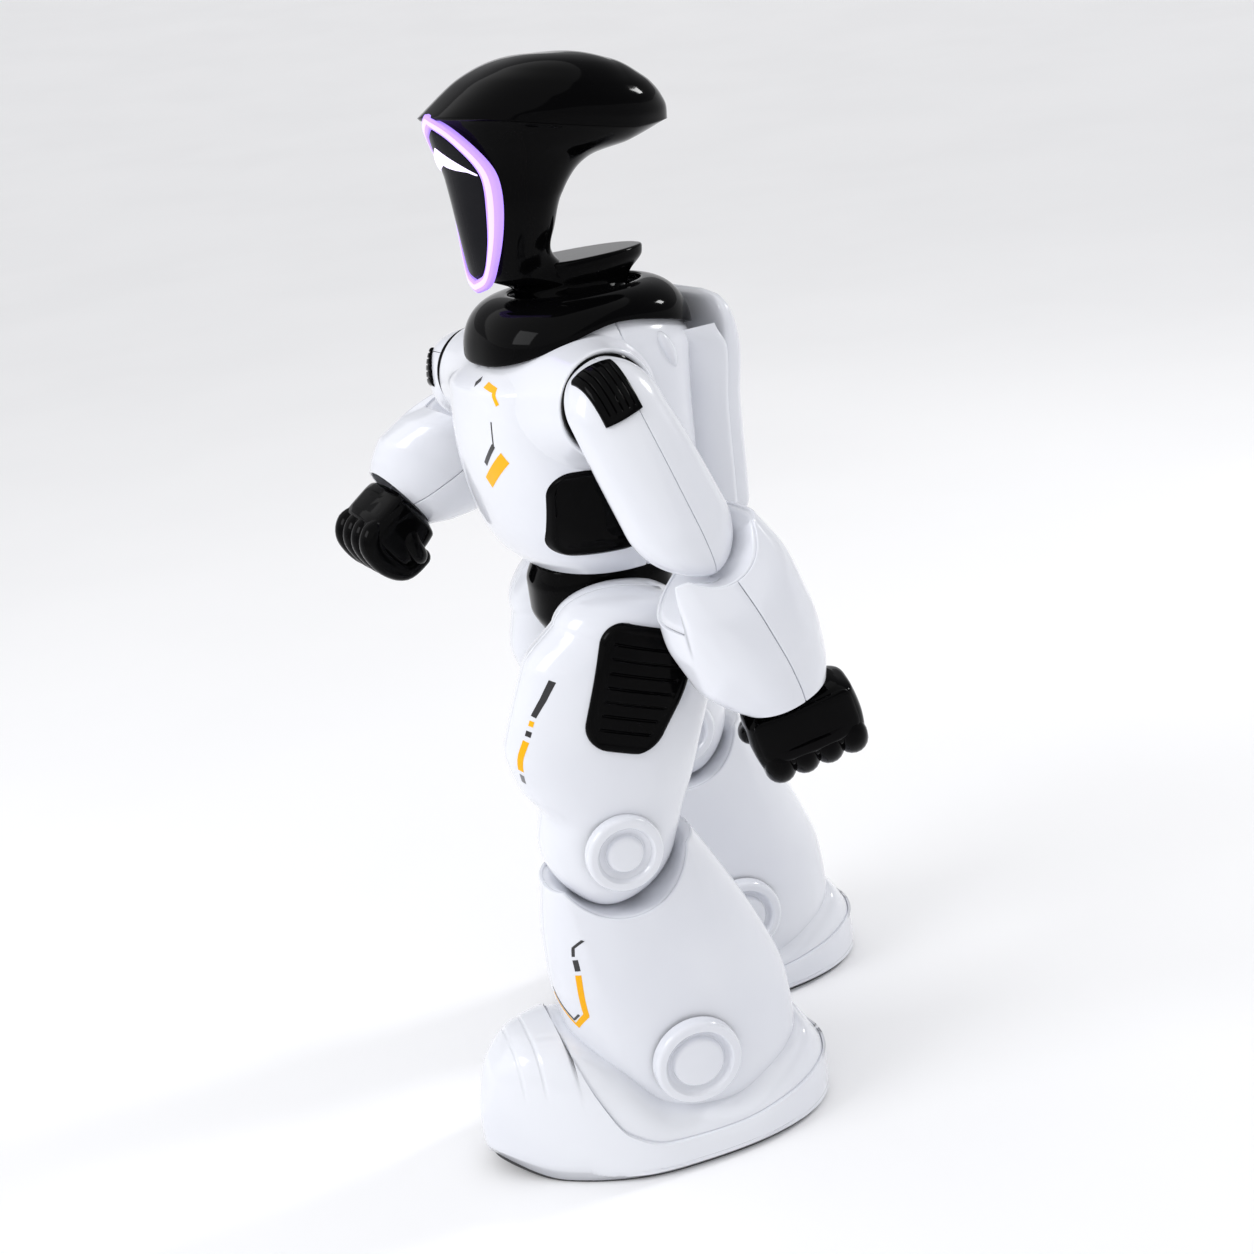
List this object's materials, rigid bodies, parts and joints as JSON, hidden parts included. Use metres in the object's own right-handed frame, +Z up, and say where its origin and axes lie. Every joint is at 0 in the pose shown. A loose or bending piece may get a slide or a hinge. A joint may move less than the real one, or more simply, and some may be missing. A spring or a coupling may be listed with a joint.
{
  "type": "walking humanoid robot toy",
  "caption": "Standing humanoid toy robot in mid-stride, white shells with black joints, turning head and waist, swinging arms and walking legs.",
  "frame": {"origin": "middle of the bounding box, on the ground plane the soles rest on", "axes": "+Z up, the toes point along -Y, the robot's left side is +X"},
  "size_m": [0.2171, 0.1854, 0.3848],
  "materials": {
    "white_gloss": "glossy moulded ABS",
    "black_gloss": "piano-black gloss",
    "light_strip": "lit translucent strip",
    "steel": "ground rod",
    "circuit_board": "solder mask",
    "sole_rubber": "matt moulded",
    "grey_frame": "matt moulded"
  },
  "bodies": {
    "pelvis": {"pelvis_shell": "black_gloss", "hip_axle": "steel", "walk_gearmotor": "grey_frame"},
    "torso": {"torso_front_shell": "white_gloss", "torso_back_shell": "white_gloss", "collar_yoke": "black_gloss", "left_side_panel": "black_gloss", "right_side_panel": "black_gloss", "backpack_shell": "white_gloss", "battery_pack": "grey_frame", "battery_cover": "white_gloss", "main_board": "circuit_board"},
    "switch": {"power_switch": "black_gloss"},
    "head": {"head_column_shell": "black_gloss", "helmet_shell": "black_gloss", "face_light_ring": "light_strip", "face_plate": "black_gloss", "eye_lens": "light_strip"},
    "left_upper_arm": {"left_upper_arm_front_shell": "white_gloss", "left_upper_arm_rear_shell": "white_gloss", "left_shoulder_hub": "black_gloss", "left_shoulder_pad": "black_gloss"},
    "left_forearm": {"left_forearm_front_shell": "white_gloss", "left_forearm_rear_shell": "white_gloss", "left_elbow_link": "grey_frame"},
    "left_fist": {"left_hand": "black_gloss"},
    "left_thigh": {"left_thigh_outer_shell": "white_gloss", "left_thigh_inner_shell": "white_gloss", "left_thigh_pad": "black_gloss", "left_knee_outer_cap": "white_gloss", "left_knee_inner_cap": "white_gloss"},
    "left_lower_leg": {"left_shin_outer_shell": "white_gloss", "left_shin_inner_shell": "white_gloss", "left_shin_frame": "grey_frame", "left_ankle_outer_cap": "white_gloss", "left_ankle_inner_cap": "white_gloss", "left_foot_upper_shell": "white_gloss", "left_foot_sole": "sole_rubber"},
    "left_wheels": {"left_wheel_axle": "sole_rubber"},
    "right_upper_arm": {"right_upper_arm_front_shell": "white_gloss", "right_upper_arm_rear_shell": "white_gloss", "right_shoulder_hub": "black_gloss", "right_shoulder_pad": "black_gloss"},
    "right_forearm": {"right_forearm_front_shell": "white_gloss", "right_forearm_rear_shell": "white_gloss", "right_elbow_link": "grey_frame"},
    "right_fist": {"right_hand": "black_gloss"},
    "right_thigh": {"right_thigh_outer_shell": "white_gloss", "right_thigh_inner_shell": "white_gloss", "right_thigh_pad": "black_gloss", "right_knee_outer_cap": "white_gloss", "right_knee_inner_cap": "white_gloss"},
    "right_lower_leg": {"right_shin_outer_shell": "white_gloss", "right_shin_inner_shell": "white_gloss", "right_shin_frame": "grey_frame", "right_ankle_outer_cap": "white_gloss", "right_ankle_inner_cap": "white_gloss", "right_foot_upper_shell": "white_gloss", "right_foot_sole": "sole_rubber"},
    "right_wheels": {"right_wheel_axle": "sole_rubber"}
  },
  "joints": [
    {"name": "waist_turn", "type": "hinge", "parent": "pelvis", "child": "torso", "pos_m": [-0.0029, -0.0071, 0], "axis": [0, 0, 1], "range_deg": [-30, 4]},
    {"name": "neck_turn", "type": "hinge", "parent": "torso", "child": "head", "pos_m": [-0.00313, -0.00613, 0], "axis": [0, 0, 1], "range_deg": [-35, 35]},
    {"name": "left_shoulder_swing", "type": "hinge", "parent": "torso", "child": "left_upper_arm", "pos_m": [0.05661, -0.00927, 0.2785], "axis": [0.9744, 0.225, 0], "range_deg": [-99.5, 46.5]},
    {"name": "left_elbow_bend", "type": "hinge", "parent": "left_upper_arm", "child": "left_forearm", "pos_m": [0.07089, 0.00013, 0.24299], "axis": [0.9744, 0.225, 0], "range_deg": [-117, 2]},
    {"name": "left_wrist_turn", "type": "hinge", "parent": "left_forearm", "child": "left_fist", "pos_m": [0.0935, 0.02194, 0.18469], "axis": [0.0601, -0.2604, 0.9636], "range_deg": [-90, 90]},
    {"name": "right_shoulder_swing", "type": "hinge", "parent": "torso", "child": "right_upper_arm", "pos_m": [-0.05544, -0.03514, 0.2785], "axis": [0.9744, 0.225, 0], "range_deg": [-146, 0]},
    {"name": "right_elbow_bend", "type": "hinge", "parent": "right_upper_arm", "child": "right_forearm", "pos_m": [-0.07777, -0.00966, 0.25837], "axis": [0.9744, 0.225, 0], "range_deg": [0, 119]},
    {"name": "right_wrist_turn", "type": "hinge", "parent": "right_forearm", "child": "right_fist", "pos_m": [-0.09287, -0.06401, 0.22367], "axis": [-0.1843, 0.7982, 0.5736], "range_deg": [-180, 0]},
    {"name": "left_hip_swing", "type": "hinge", "parent": "pelvis", "child": "left_thigh", "pos_m": [0.0401, -0.0041, 0.199], "axis": [1, 0, 0], "range_deg": [0, 38]},
    {"name": "right_hip_swing", "type": "hinge", "parent": "pelvis", "child": "right_thigh", "pos_m": [-0.0459, -0.0041, 0.199], "axis": [1, 0, 0], "range_deg": [-38, 0]},
    {"name": "left_knee_bend", "type": "hinge", "parent": "left_thigh", "child": "left_lower_leg", "pos_m": [0.0401, -0.02982, 0.1243], "axis": [1, 0, 0], "range_deg": [-38, 0]},
    {"name": "right_knee_bend", "type": "hinge", "parent": "right_thigh", "child": "right_lower_leg", "pos_m": [-0.0459, 0.02162, 0.1243], "axis": [1, 0, 0], "range_deg": [0, 38]},
    {"name": "left_wheel_spin", "type": "hinge", "parent": "left_lower_leg", "child": "left_wheels", "pos_m": [0.0421, 0.00229, 0.0068], "axis": [1, 0, 0], "continuous": true},
    {"name": "right_wheel_spin", "type": "hinge", "parent": "right_lower_leg", "child": "right_wheels", "pos_m": [-0.0479, 0.05373, 0.0068], "axis": [1, 0, 0], "continuous": true},
    {"name": "power_switch_slide", "type": "slide", "parent": "torso", "child": "switch", "axis": [0.9744, 0.225, 0], "range_m": [0, 0.003]}
  ],
  "couplings": [
    {"joint": "right_hip_swing", "follows": "left_hip_swing", "ratio": -1},
    {"joint": "left_knee_bend", "follows": "left_hip_swing", "ratio": -1},
    {"joint": "right_knee_bend", "follows": "left_hip_swing", "ratio": 1}
  ]
}
